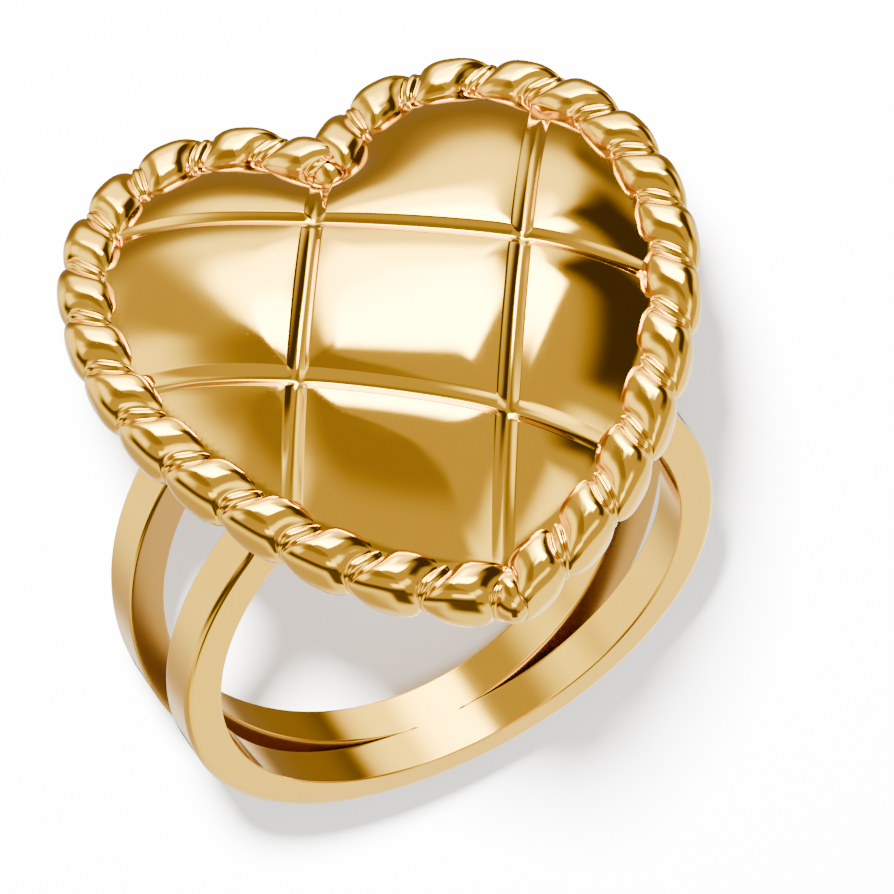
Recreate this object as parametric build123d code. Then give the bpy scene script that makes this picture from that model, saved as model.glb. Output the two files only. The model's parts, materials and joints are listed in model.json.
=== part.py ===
from build123d import *
import math
import os
import numpy as np

# Heart ring: a puffed, quilted heart with a beaded rope border on a split band.
# The ring frame has its origin at the centre of the finger hole, +Y along the finger
# towards the lobes, +Z up through the heart. The finished ring is turned on its side.

# Finger hoops: half widths run along the finger, and the two handles bend the flare
# between the palm and the head
finger_bore_d = 17.3
hoop_thick = 1.3
arm_width = 1.68
palm_half_width = 1.4
palm_handle = 2.85
head_handle = 3.33
head_half_width = 3.53

# Shoulders: where the hoops leave their circle and how wide they meet the heart
shoulder_angle = 42.0
shoulder_half = 7.4

# Heart, measured along the centre line of its rope border
heart_half_width = 9.75
heart_length = 20.9
heart_mid_share = 0.635
rim_height = 12.1
rim_bend_radius = 33.0
heart_turn = -7.8
heart_shift_x = 0.62
heart_shift_y = 1.64
heart_back = 0.45

# Rope border
rope_radius = 1.0
rope_waist = 0.66
rope_drop_share = 1.3
beads_per_side = 14
rope_side_count = 12
slant_share_left = 0.15
slant_share_right = -0.03

# Dome and quilting
dome_edge = 0.25
dome_rise = 1.75
quilt_turn_a = -23.5
quilt_turn_b = -28.7
quilt_pitch_a = 7.05
quilt_pitch_b = 6.7
quilt_start_a = -2.0
quilt_start_b = 0.58
groove_width = 0.8
groove_depth = 0.4
pillow_roll = 0.18
pillow_reach = 1.6
facet_pitch = 1.5

# Half outline of the heart from cleft to tip: share of the half width, share of the length
# up from the tip
HALF_OUTLINE = (
    (0.0, 0.875),
    (0.25, 0.985),
    (0.45, 1.0),
    (0.8, 0.905),
    (0.99, 0.68),
    (0.95, 0.46),
    (0.72, 0.25),
    (0.39, 0.09),
    (0.0, 0.0),
)
# One bead along the rope: share of its pitch, share of the rise from waist to full radius
BEAD_ROWS = (
    (0.0, 0.0),
    (0.12, 0.72),
    (0.3, 0.95),
    (0.5, 1.0),
    (0.7, 0.95),
    (0.88, 0.72),
)

# Points on the rope's centre line for each bead: all of them, and those of the plan outline
PATH_POINTS = 30
OUTLINE_POINTS = 3
# Points along the edge of the band, and turns taken to find the resting plane
EDGE_POINTS = 40
REST_TURNS = 30

bore_radius = finger_bore_d / 2
hoop_radius = bore_radius + hoop_thick
cut_reach = 2 * (heart_length + rim_height)
path_samples = PATH_POINTS * beads_per_side


def mesh_solid(points, triangles):
    """One closed solid from the corner points and triangles of its skin."""
    corners = [Vector(*point) for point in points]
    faces = []
    for a, b, c in triangles:
        faces.append(Face(Wire.make_polygon([corners[a], corners[b], corners[c]], close=True)))
    return Solid(Shell(faces))


def flare_outline(inset):
    """Half width of the band from palm to head in the side view, less an inset."""
    step = 2 * hoop_radius / 3
    return Bezier(
        (palm_half_width - inset, -hoop_radius),
        (palm_handle - inset, -hoop_radius + step),
        (head_handle - inset, hoop_radius - step),
        (head_half_width - inset, hoop_radius),
    )


def flare_side(inset, side):
    """Slab of everything on the inner side of one flared face, side 1 or -1 along Y."""
    curve = flare_outline(inset)
    top = Line(curve @ 1, (head_half_width - inset, cut_reach))
    roof = Line(top @ 1, (-cut_reach, cut_reach))
    wall = Line(roof @ 1, (-cut_reach, -cut_reach))
    floor = Line(wall @ 1, (palm_half_width - inset, -cut_reach))
    foot = Line(floor @ 1, curve @ 0)
    profile = make_face([curve, top, roof, wall, floor, foot])
    slab = extrude(Plane.YZ * profile, amount=cut_reach, both=True)
    return slab if side > 0 else mirror(slab, about=Plane.XZ)


def shoulder_block():
    """Block from the hoop circle to the heart, with sides that leave the circle smoothly."""
    turn = math.radians(shoulder_angle)
    start = (hoop_radius * math.cos(turn), hoop_radius * math.sin(turn))
    side = TangentArc(start, (shoulder_half, rim_height), tangent=(-start[1], start[0]))
    other = mirror(side, about=Plane.YZ)
    top = Line(side @ 1, other @ 1)
    foot = Line(other @ 0, side @ 0)
    return extrude(Plane.XZ * make_face([side, top, other, foot]), amount=cut_reach, both=True)


def split_band():
    """The two finger hoops: one band at the palm that splits and flares up to the heart."""
    round_body = Cylinder(hoop_radius, cut_reach, rotation=(90, 0, 0))
    blank = (round_body + shoulder_block()) & flare_side(0, 1) & flare_side(0, -1)
    gap = flare_side(arm_width, 1) & flare_side(arm_width, -1)
    return blank - gap - Cylinder(bore_radius, cut_reach, rotation=(90, 0, 0))


def rim_z(along):
    """Height of the rope's centre line, which bends down towards the lobes and the tip."""
    return rim_height - along**2 / (2 * rim_bend_radius)


def half_path(side):
    """Evenly spaced points of the rope's centre line from cleft to tip, in plan."""
    corners = []
    for across, along in HALF_OUTLINE:
        y = (along - heart_mid_share) * heart_length
        corners.append((side * across * heart_half_width, y))
    curve = Spline(*corners)
    points = []
    for k in range(path_samples + 1):
        place = curve.position_at(curve.length * k / path_samples, position_mode=PositionMode.LENGTH)
        points.append((place.X, place.Y))
    return np.array(points)


def along_path(path, bead):
    """Point of the path and its direction at a place counted in beads from the cleft."""
    places = np.linspace(0, beads_per_side, path_samples + 1)
    step = beads_per_side / path_samples
    here = np.array([np.interp(bead, places, path[:, k]) for k in (0, 1)])
    start = min(max(bead - step, 0), beads_per_side - 2 * step)
    before = np.array([np.interp(start, places, path[:, k]) for k in (0, 1)])
    after = np.array([np.interp(start + 2 * step, places, path[:, k]) for k in (0, 1)])
    direction = (after - before) / np.linalg.norm(after - before)
    return here, direction


def rope_half(path, side, slant):
    """One side of the rope border: a closed tube whose radius swells in each bead."""
    rows = []
    for bead in range(beads_per_side):
        for share, swell in BEAD_ROWS:
            rows.append((bead + share, swell))
    rows.append((beads_per_side, 0.0))
    points = []
    for bead, swell in rows:
        radius = rope_waist + (rope_radius - rope_waist) * swell
        for k in range(rope_side_count):
            turn = 2 * math.pi * k / rope_side_count
            place = bead - slant * math.cos(turn)
            centre, direction = along_path(path, min(max(place, 0), beads_per_side))
            outward = side * np.array([-direction[1], direction[0]])
            plan = centre + radius * math.cos(turn) * outward
            rise = radius * math.sin(turn) * (1 if turn < math.pi else rope_drop_share)
            points.append((plan[0], plan[1], rim_z(centre[1]) + rise))
    triangles = []
    for row in range(len(rows) - 1):
        for k in range(rope_side_count):
            a = row * rope_side_count + k
            b = row * rope_side_count + (k + 1) % rope_side_count
            triangles.append((a, b, b + rope_side_count))
            triangles.append((a, b + rope_side_count, a + rope_side_count))
    last = (len(rows) - 1) * rope_side_count
    for k in range(1, rope_side_count - 1):
        triangles.append((0, k, k + 1))
        triangles.append((last, last + k, last + k + 1))
    return points, triangles


def inside(outline, x, y):
    """Whether a point of the plan lies inside the closed outline."""
    x0, y0 = outline[:, 0], outline[:, 1]
    x1, y1 = np.roll(x0, -1), np.roll(y0, -1)
    spans = (y0 > y) != (y1 > y)
    rise = np.where(spans, y1 - y0, 1)
    cross = x0 + (y - y0) * (x1 - x0) / rise
    return np.count_nonzero(spans & (x < cross)) % 2 == 1


def edge_distance(outline, x, y):
    """Smoothed distance from a point of the plan to the rope's centre line."""
    x1, y1 = np.roll(outline[:, 0], -1), np.roll(outline[:, 1], -1)
    length = np.hypot(x1 - outline[:, 0], y1 - outline[:, 1])
    gap = np.hypot(x - (x1 + outline[:, 0]) / 2, y - (y1 + outline[:, 1]) / 2)
    smooth = math.sqrt(2) / math.sqrt(np.sum(length / gap**3))
    return smooth if inside(outline, x, y) else 0.0


def grid_stops(low, high, grooves):
    """Grid lines from low to high, with three on each groove and even cells between."""
    stops = []
    start = low
    for groove in grooves:
        cells = max(1, round((groove - groove_width / 2 - start) / facet_pitch))
        stops.extend(np.linspace(start, groove - groove_width / 2, cells + 1))
        stops.append(groove)
        start = groove + groove_width / 2
    cells = max(1, round((high - start) / facet_pitch))
    stops.extend(np.linspace(start, high, cells + 1))
    return stops


def groove_fall(place, grooves):
    """How far the pillow rolls off and the groove cuts in at a place across the grooves."""
    distance = min(abs(place - groove) for groove in grooves)
    roll = pillow_roll * max(0, 1 - distance / pillow_reach) ** 2
    return roll + groove_depth * max(0, 1 - 2 * distance / groove_width)


def quilted_slab(outline):
    """The puffed heart as a height field on the quilting grid, with a bent flat back."""
    turn_a, turn_b = math.radians(quilt_turn_a), math.radians(quilt_turn_b)
    axis_a = np.array([math.cos(turn_a), math.sin(turn_a)])
    axis_b = np.array([-math.sin(turn_b), math.cos(turn_b)])
    grooves_a = (quilt_start_a, quilt_start_a + quilt_pitch_a)
    grooves_b = (quilt_start_b - quilt_pitch_b, quilt_start_b)
    reach_a = outline @ axis_a
    reach_b = outline @ axis_b
    stops_a = grid_stops(reach_a.min() - rope_radius, reach_a.max() + rope_radius, grooves_a)
    stops_b = grid_stops(reach_b.min() - rope_radius, reach_b.max() + rope_radius, grooves_b)
    places = [(a, b) for b in stops_b for a in stops_a]
    plan = [np.linalg.solve([axis_a, axis_b], place) for place in places]
    depths = [edge_distance(outline, x, y) for x, y in plan]
    full = max(depths)
    top = []
    for (a, b), (x, y), depth in zip(places, plan, depths):
        share = min(max((depth - rope_waist) / (full - rope_waist), 0), 1)
        puff = dome_edge + dome_rise * (1 - (1 - share) ** 2)
        fall = max(groove_fall(a, grooves_a), groove_fall(b, grooves_b))
        top.append((x, y, rim_z(y) + puff - fall))
    bottom = [(x, y, rim_z(y) - heart_back) for x, y in plan]
    return grid_skin(top, bottom, len(stops_a), len(stops_b))


def grid_skin(top, bottom, columns, rows):
    """Triangles of a closed slab between two height fields on the same grid."""
    under = len(top)
    triangles = []
    for row in range(rows - 1):
        for column in range(columns - 1):
            a = row * columns + column
            b, c, d = a + 1, a + 1 + columns, a + columns
            triangles += [(a, b, c), (a, c, d)]
            triangles += [(under + a, under + c, under + b), (under + a, under + d, under + c)]
    rim = [(k, k + 1) for k in range(columns - 1)]
    rim += [(k * columns + columns - 1, (k + 1) * columns + columns - 1) for k in range(rows - 1)]
    rim += [((rows - 1) * columns + k + 1, (rows - 1) * columns + k) for k in range(columns - 1)]
    rim += [((k + 1) * columns, k * columns) for k in range(rows - 1)]
    for a, b in rim:
        triangles += [(a, under + a, under + b), (a, under + b, b)]
    return top + bottom, triangles


def to_ring(points):
    """Points of the heart's own frame, turned and shifted into the ring frame."""
    turn = math.radians(heart_turn)
    placed = []
    for x, y, z in points:
        across = x * math.cos(turn) - y * math.sin(turn) + heart_shift_x
        along = x * math.sin(turn) + y * math.cos(turn) + heart_shift_y
        placed.append((across, along, z))
    return placed


def placed_skin(skin):
    """A skin with its points moved into the ring frame."""
    return to_ring(skin[0]), skin[1]


def palm_edge():
    """Points on the palm half of the band's outer edge, on the side that lies down."""
    points = []
    curve = flare_outline(0)
    for share in np.linspace(0, 1, EDGE_POINTS):
        place = curve @ float(share)
        if place.Y < 0:
            across = math.sqrt(max(hoop_radius**2 - place.Y**2, 0))
            points += [(across, place.X, place.Y), (-across, place.X, place.Y)]
    return np.array(points)


def rest_plane(groups):
    """The plane that the ring lies on, touching each of three groups of points."""
    normal = np.array([0.0, -1.0, 0.0])
    for _ in range(REST_TURNS):
        contacts = [group[np.argmin(group @ normal)] for group in groups]
        normal = np.cross(contacts[1] - contacts[0], contacts[2] - contacts[0])
        normal /= np.linalg.norm(normal) * (-1 if normal[1] > 0 else 1)
    back = np.array([0.0, 0.0, -1.0])
    back -= normal * (back @ normal)
    return Plane(
        origin=tuple(contacts[0]),
        x_dir=tuple(np.cross(back, normal)),
        z_dir=tuple(normal),
    )


def heart_ring():
    """The whole ring in one soldered piece, lying on its side with its base centred."""
    paths = {side: half_path(side) for side in (1, -1)}
    step = PATH_POINTS // OUTLINE_POINTS
    outline = np.vstack([paths[1][::step], paths[-1][::-1][step:-step:step]])
    slab = mesh_solid(*placed_skin(quilted_slab(outline)))
    edge = to_ring([(x, y, 0) for x, y in outline])
    prism = extrude(make_face(Polyline(*edge, close=True)), amount=cut_reach)
    skins = {1: rope_half(paths[1], 1, slant_share_right), -1: rope_half(paths[-1], -1, slant_share_left)}
    ropes = {side: placed_skin(skin) for side, skin in skins.items()}
    lobes = [np.array(ropes[side][0]) for side in (1, -1)]
    ring = split_band() + (slab & prism) + mesh_solid(*ropes[1]) + mesh_solid(*ropes[-1])
    lying = rest_plane([palm_edge(), *lobes]).to_local_coords(ring)
    box = lying.bounding_box()
    return Pos(-box.center().X, -box.center().Y, -box.min.Z) * lying


os.makedirs("parts", exist_ok=True)
export_step(heart_ring(), "parts/heart_ring.step")
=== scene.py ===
"""Heart ring: the looks of a puffed, quilted heart in a beaded rope border on a split band.

Lengths are in millimetres in the ring's own frame, which has its origin at the centre of the
finger hole, +Y along the finger towards the lobes and +Z up through the heart. RestFrame turns
them into metres in the shared frame, where the ring lies on its side.
"""

import json
import logging
import math
from abc import ABC, abstractmethod
from dataclasses import dataclass
from enum import Enum
from typing import Any, Sequence

import bmesh
import bpy
import numpy as np
from mathutils import Matrix, Vector

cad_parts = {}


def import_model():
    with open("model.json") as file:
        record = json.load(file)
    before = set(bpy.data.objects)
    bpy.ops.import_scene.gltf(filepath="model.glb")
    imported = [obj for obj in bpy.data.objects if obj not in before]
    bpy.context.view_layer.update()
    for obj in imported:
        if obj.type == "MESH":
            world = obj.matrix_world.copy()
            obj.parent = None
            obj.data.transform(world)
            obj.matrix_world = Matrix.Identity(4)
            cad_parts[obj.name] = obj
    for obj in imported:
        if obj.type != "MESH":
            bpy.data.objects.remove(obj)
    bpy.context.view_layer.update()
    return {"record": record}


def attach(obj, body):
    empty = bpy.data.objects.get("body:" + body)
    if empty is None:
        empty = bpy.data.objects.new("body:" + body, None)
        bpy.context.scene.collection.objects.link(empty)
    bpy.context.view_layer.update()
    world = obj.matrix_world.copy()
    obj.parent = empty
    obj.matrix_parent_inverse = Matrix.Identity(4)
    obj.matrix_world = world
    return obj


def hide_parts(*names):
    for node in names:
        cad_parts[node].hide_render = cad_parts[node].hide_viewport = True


logging.basicConfig(level=logging.INFO, format="%(message)s")
LOG = logging.getLogger("heart_ring")

MM = 0.001
RING_NODE = "heart_ring"
BODY = "root"
WHITE = "#FFFFFF"
# Face attribute: 1 on the walls between the hoops, which get a painted shade in their colour and a
# duller finish
DULL_SHADED_WALL = "dull_shaded_wall"
# Edges that turn by more than this stay crisp
SHARP_DEGREES = 40
# Samples of a spline for each point that is taken from it
SPLINE_FINENESS = 40
# A Mix node's colour sockets, which share their names with its number sockets
MIX_A, MIX_B, MIX_OUT = 6, 7, 2
# The sRGB transfer curve
SRGB_KNEE, SRGB_SLOPE, SRGB_OFFSET, SRGB_POWER = 0.04045, 12.92, 0.055, 2.4

# One sum of a node tree: its name, the operation and its terms, numbers or names of others
Step = tuple[Any, ...]


class Side(Enum):
    """The two halves of the heart, by the sign of their X."""

    RIGHT = 1
    LEFT = -1


class Arm(Enum):
    """The two hoops of the split band, by the sign of their Y."""

    BACK = 1
    FRONT = -1


def hex_to_linear(code: str) -> tuple[float, float, float, float]:
    """Turns an sRGB hex colour into linear values with full alpha.

    Args:
        code: six hex digits, with or without a leading hash.

    Returns:
        Red, green, blue and alpha.
    """
    red, green, blue = (
        c / SRGB_SLOPE if c <= SRGB_KNEE else ((c + SRGB_OFFSET) / (1 + SRGB_OFFSET)) ** SRGB_POWER
        for c in (channel / 255 for channel in bytes.fromhex(code.lstrip("#"))))
    return (red, green, blue, 1.0)


def add_node(tree: bpy.types.NodeTree, kind: str, links: dict[Any, Any] | None = None,
             **settings: Any) -> bpy.types.Node:
    """Adds one node with its settings, socket values and links.

    Args:
        tree: the tree that gets the node.
        kind: the node's type name.
        links: input name or number to a value, or to the output socket that feeds it.
        settings: the node's own properties.

    Returns:
        The new node.
    """
    node = tree.nodes.new(kind)
    for name, value in settings.items():
        setattr(node, name, value)
    for name, value in (links or {}).items():
        socket = node.inputs[name]
        if isinstance(value, bpy.types.NodeSocket):
            tree.links.new(value, socket)
        else:
            socket.default_value = value
    return node


@dataclass(frozen=True)
class RestFrame:
    """Where the ring's own frame lies in the shared frame, from the record's finger hole."""

    origin: Vector
    turn: Matrix

    @classmethod
    def from_record(cls, record: dict[str, Any]) -> "RestFrame":
        """Reads the hole's centre and axis; the ring's up direction has no X when it lies down.

        Args:
            record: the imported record.

        Returns:
            The frame.
        """
        hole = next(m for m in record["mounts"] if m["name"] == "finger_hole")
        along = Vector(hole["axis"]).normalized()
        up = along.cross(Vector((1, 0, 0))).normalized()
        across = along.cross(up)
        return cls(Vector(hole["pos_m"]), Matrix((across, along, up)).transposed())

    def points(self, ring_mm: np.ndarray) -> np.ndarray:
        """Ring-frame points in millimetres as shared-frame points in metres."""
        turn = np.array(self.turn)
        return ring_mm @ turn.T * MM + np.array(self.origin)

    def point(self, ring_mm: Sequence[float]) -> Vector:
        """One ring-frame point in the shared frame."""
        return self.origin + self.turn @ Vector(ring_mm) * MM

    def direction(self, ring: Sequence[float]) -> Vector:
        """One ring-frame direction in the shared frame."""
        return (self.turn @ Vector(ring)).normalized()


def clean_shell(points: np.ndarray, faces: Sequence[Sequence[int]],
                merge_mm: float = 0.0) -> bpy.types.Mesh:
    """Makes one closed skin with its normals outward.

    Args:
        points: vertices in the shared frame, in metres.
        faces: vertex numbers of each face.
        merge_mm: vertices nearer than this are merged.

    Returns:
        The mesh.
    """
    mesh = bpy.data.meshes.new("shell")
    mesh.from_pydata([tuple(p) for p in points], [], [tuple(f) for f in faces])
    shape = bmesh.new()
    shape.from_mesh(mesh)
    if merge_mm:
        bmesh.ops.remove_doubles(shape, verts=shape.verts, dist=merge_mm * MM)
        bmesh.ops.dissolve_degenerate(shape, edges=shape.edges, dist=merge_mm * MM)
    bmesh.ops.recalc_face_normals(shape, faces=shape.faces)
    shape.to_mesh(mesh)
    shape.free()
    return mesh


def make_piece(name: str, shape: bmesh.types.BMesh) -> bpy.types.Object:
    """Makes a smooth-shaded object whose place is in its vertices.

    Args:
        name: the piece's name.
        shape: its finished shape, which is used up.

    Returns:
        The object, linked to the scene.
    """
    mesh = bpy.data.meshes.new(name)
    shape.to_mesh(mesh)
    shape.free()
    mesh.shade_smooth()
    piece = bpy.data.objects.new(name, mesh)
    bpy.context.scene.collection.objects.link(piece)
    return piece


def join_shells(name: str, shells: Sequence[bpy.types.Mesh]) -> bpy.types.Object:
    """Joins closed skins into one piece that keeps its sharp edges crisp.

    Args:
        name: the piece's name.
        shells: the skins, which are used up.

    Returns:
        The piece.
    """
    shape = bmesh.new()
    for shell in shells:
        shape.from_mesh(shell)
        bpy.data.meshes.remove(shell)
    piece = make_piece(name, shape)
    piece.data.set_sharp_from_angle(angle=math.radians(SHARP_DEGREES))
    return piece


def smooth_curve(corners: np.ndarray, count: int) -> np.ndarray:
    """Evenly spaced points of a natural cubic spline through the corners.

    Args:
        corners: one point a row.
        count: how many points to return.

    Returns:
        The points, one a row.
    """
    gaps = np.linalg.norm(np.diff(corners, axis=0), axis=1)
    knots = np.concatenate([[0], np.cumsum(gaps)])
    n = len(corners)
    system = np.eye(n)
    sums = np.zeros_like(corners)
    for k in range(1, n - 1):
        system[k, k - 1:k + 2] = gaps[k - 1], 2 * (gaps[k - 1] + gaps[k]), gaps[k]
        slope_in = (corners[k] - corners[k - 1]) / gaps[k - 1]
        slope_out = (corners[k + 1] - corners[k]) / gaps[k]
        sums[k] = 6 * (slope_out - slope_in)
    bend = np.linalg.solve(system, sums)

    def at(places: np.ndarray) -> np.ndarray:
        """Finds points of the spline.

        Args:
            places: distances along its chords.

        Returns:
            The points, one a row.
        """
        k = np.clip(np.searchsorted(knots, places, side="right") - 1, 0, n - 2)
        h = gaps[k][:, None]
        a = (knots[k + 1] - places)[:, None]
        b = (places - knots[k])[:, None]
        cubic = (bend[k] * a**3 + bend[k + 1] * b**3) / (6 * h)
        return (cubic + (corners[k] / h - bend[k] * h / 6) * a
                + (corners[k + 1] / h - bend[k + 1] * h / 6) * b)

    fine = at(np.linspace(0, knots[-1], SPLINE_FINENESS * count))
    run = np.concatenate([[0], np.cumsum(np.linalg.norm(np.diff(fine, axis=0), axis=1))])
    places = np.linspace(0, run[-1], count)
    return np.stack([np.interp(places, run, column) for column in fine.T], axis=1)


@dataclass(frozen=True)
class HeartPlan:
    """The heart's outline along the centre line of its rope border, and how it bends."""

    half_width: float = 9.75
    length: float = 20.9
    # Share of the length from the tip to the plan's origin
    mid_share: float = 0.635
    rim_height: float = 12.1
    rim_bend_radius: float = 33.0
    # From the rope's centre line in to its waist, and down to the heart's flat back
    waist: float = 0.66
    back: float = 0.45
    # How the heart sits askew on the band
    turn_degrees: float = -7.8
    shift: tuple[float, float] = (0.62, 1.64)
    # Cleft to tip: share of the half width, share of the length up from the tip
    half_outline: tuple[tuple[float, float], ...] = (
        (0.0, 0.875), (0.25, 0.985), (0.45, 1.0), (0.8, 0.905), (0.99, 0.68),
        (0.95, 0.46), (0.72, 0.25), (0.39, 0.09), (0.0, 0.0),
    )

    def half_path(self, side: Side, count: int) -> np.ndarray:
        """Evenly spaced plan points from the cleft to the tip on one side.

        Args:
            side: which half.
            count: how many points.

        Returns:
            The points in the heart's own plan, one a row.
        """
        corners = [(side.value * across * self.half_width, (along - self.mid_share) * self.length)
                   for across, along in self.half_outline]
        return smooth_curve(np.array(corners), count)

    def rim_z(self, along: np.ndarray) -> np.ndarray:
        """Height of the rope's centre line, which bends down towards the lobes and the tip."""
        return self.rim_height - along**2 / (2 * self.rim_bend_radius)

    def to_ring(self, points: np.ndarray) -> np.ndarray:
        """Turns and shifts the heart into its place on the ring.

        Args:
            points: points over the heart's plan, one a row.

        Returns:
            The points in the ring frame.
        """
        turn = math.radians(self.turn_degrees)
        across = points[:, 0] * math.cos(turn) - points[:, 1] * math.sin(turn) + self.shift[0]
        along = points[:, 0] * math.sin(turn) + points[:, 1] * math.cos(turn) + self.shift[1]
        return np.stack([across, along, points[:, 2]], axis=1)

    def outline(self, count: int) -> np.ndarray:
        """The closed outline in the heart's plan.

        Args:
            count: how many points a side.

        Returns:
            The points, one a row.
        """
        right = self.half_path(Side.RIGHT, count)
        left = self.half_path(Side.LEFT, count)
        return np.vstack([right, left[-2:0:-1]])


@dataclass
class RingPiece(ABC):
    """What the ring's pieces have in common: the heart's plan and how they are dressed."""

    plan: HeartPlan

    @abstractmethod
    def build(self, rest: RestFrame, metal: bpy.types.Material) -> bpy.types.Object:
        """Builds the piece and dresses it.

        Args:
            rest: where the ring lies.
            metal: its finish.

        Returns:
            The dressed piece.
        """

    def dress(self, piece: bpy.types.Object, metal: bpy.types.Material) -> bpy.types.Object:
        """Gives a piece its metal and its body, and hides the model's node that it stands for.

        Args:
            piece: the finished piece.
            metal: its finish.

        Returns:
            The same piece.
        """
        piece.data.materials.clear()
        piece.data.materials.append(metal)
        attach(piece, BODY)
        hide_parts(RING_NODE)
        return piece


@dataclass
class QuiltedHeart(RingPiece):
    """The puffed sheet of the heart, pressed with a slanted lattice of rounded grooves."""

    # Over the rope's centre line: the sheet's edge, and how much more its middle
    edge_rise: float = 0.5
    rise: float = 1.5
    # Two sets of grooves make the lattice: their lean in degrees, pitch and first place
    turn_a: float = -23.5
    turn_b: float = -28.7
    pitch_a: float = 7.05
    pitch_b: float = 6.7
    start_a: float = -2.0
    start_b: float = 0.58
    groove_half: float = 0.36
    groove_depth: float = 0.16
    groove_power: float = 2.0
    lip_round: float = 0.05
    # Near the rope a groove fades to a share of its depth
    end_depth_share: float = 0.4
    end_reach: float = 1.5
    # How far a pillow rolls off towards a groove, and how wide that roll is
    pillow_roll: float = 0.2
    pillow_reach: float = 1.9
    pillow_power: float = 2.2
    # How crisply two grooves meet where they cross
    blend_power: float = 5.0
    # The grid: cells across a groove, a cell's size on a pillow, outline points a side
    groove_steps: int = 14
    pillow_step: float = 0.2
    outline_count: int = 120
    # Keeps the distance of a point on the outline from dividing by nothing
    least_gap: float = 0.001

    def _stops(self, low: float, high: float, grooves: Sequence[float]) -> np.ndarray:
        """Grid lines that are close together across each groove and even between.

        Args:
            low: the first line.
            high: the last line.
            grooves: the grooves' places.

        Returns:
            The places of the lines.
        """
        wide = self.groove_half + self.lip_round
        stops: list[float] = []
        start = low
        for groove in grooves:
            cells = max(1, round((groove - wide - start) / self.pillow_step))
            stops.extend(np.linspace(start, groove - wide, cells + 1)[:-1])
            across = np.linspace(-1, 1, self.groove_steps + 1)
            stops.extend(groove + wide * np.sin(across * math.pi / 2)[:-1])
            start = groove + wide
        cells = max(1, round((high - start) / self.pillow_step))
        stops.extend(np.linspace(start, high, cells + 1))
        return np.array(stops)

    def _edge_distance(self, outline: np.ndarray, plan: np.ndarray) -> np.ndarray:
        """Smoothed distance from plan points to the rope's centre line, negative outside.

        Args:
            outline: the closed outline.
            plan: the points.

        Returns:
            One distance a point.
        """
        following = np.roll(outline, -1, axis=0)
        length = np.linalg.norm(following - outline, axis=1)
        middle = (following + outline) / 2
        gap = np.linalg.norm(plan[:, None, :] - middle[None, :, :], axis=2)
        # Beside a long straight edge, the sum of length / gap**3 is 2 / distance**2
        smooth = math.sqrt(2) / np.sqrt(np.sum(length / np.maximum(gap, self.least_gap)**3, axis=1))
        x, y = plan[:, 0][:, None], plan[:, 1][:, None]
        spans = (outline[:, 1] > y) != (following[:, 1] > y)
        rise = np.where(spans, following[:, 1] - outline[:, 1], 1)
        cross = outline[:, 0] + (y - outline[:, 1]) * (following[:, 0] - outline[:, 0]) / rise
        inside = np.count_nonzero(spans & (x < cross), axis=1) % 2 == 1
        return np.where(inside, smooth, -smooth)

    def _fall(self, place: np.ndarray, grooves: Sequence[float]) -> tuple[np.ndarray, np.ndarray]:
        """How far the pillow rolls off and the groove cuts in, across one set of grooves.

        Args:
            place: places across the grooves.
            grooves: the grooves' places.

        Returns:
            The roll and the cut.
        """
        distance = np.min([np.abs(place - groove) for groove in grooves], axis=0)
        near = np.clip(1 - distance / self.pillow_reach, 0, 1)
        share = np.clip(distance / self.groove_half, 0, 1)
        return (self.pillow_roll * near**self.pillow_power,
                self.groove_depth * (1 - share**self.groove_power))

    def _top(self, base: np.ndarray, depth: np.ndarray, places: np.ndarray,
             lattice: Sequence[Sequence[float]]) -> np.ndarray:
        """Height of the puffed and pressed sheet.

        Args:
            base: heights of the rope's centre line.
            depth: distances from that line.
            places: places across both sets of grooves, one row a point.
            lattice: the grooves' places in both sets.

        Returns:
            One height a point.
        """
        waist = self.plan.waist
        share = np.clip((depth - waist) / (depth.max() - waist), 0, 1)
        puff = self.edge_rise + self.rise * (1 - (1 - share) ** 2)
        (roll_a, cut_a), (roll_b, cut_b) = (
            self._fall(place, grooves) for place, grooves in zip(places.T, lattice))
        power = self.blend_power
        roll = (roll_a**power + roll_b**power) ** (1 / power)
        cut = (cut_a**power + cut_b**power) ** (1 / power)
        shallow = np.clip((depth - waist) / self.end_reach, 0, 1)
        cut *= self.end_depth_share + (1 - self.end_depth_share) * shallow
        return base + puff - roll - cut

    def build(self, rest: RestFrame, metal: bpy.types.Material) -> bpy.types.Object:
        """Builds the closed sheet as a height field on a grid that follows the lattice.

        Args:
            rest: where the ring lies.
            metal: its finish.

        Returns:
            The dressed piece.
        """
        turn_a, turn_b = math.radians(self.turn_a), math.radians(self.turn_b)
        axes = np.array([[math.cos(turn_a), math.sin(turn_a)],
                         [-math.sin(turn_b), math.cos(turn_b)]])
        lattice = ((self.start_a, self.start_a + self.pitch_a),
                   (self.start_b - self.pitch_b, self.start_b))
        outline = self.plan.outline(self.outline_count)
        reach = outline @ axes.T
        low, high = reach.min(axis=0) - self.pillow_step, reach.max(axis=0) + self.pillow_step
        stops_a, stops_b = map(self._stops, low, high, lattice)
        grid_b, grid_a = np.meshgrid(stops_b, stops_a, indexing="ij")
        places = np.stack([grid_a.ravel(), grid_b.ravel()], axis=1)
        plan = places @ np.linalg.inv(axes).T
        depth = self._edge_distance(outline, plan)
        rim = self.plan.rim_z(plan[:, 1])
        top = np.column_stack([plan, self._top(rim, depth, places, lattice)])
        under = np.column_stack([plan, rim - self.plan.back])
        faces = self._skin(depth > -self.pillow_step, len(stops_a), len(stops_b))
        points = rest.points(self.plan.to_ring(np.vstack([top, under])))
        used = sorted({k for face in faces for k in face})
        fresh = {old: new for new, old in enumerate(used)}
        shell = clean_shell(points[used], [[fresh[k] for k in face] for face in faces])
        return self.dress(join_shells("quilted_heart", [shell]), metal)

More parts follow.
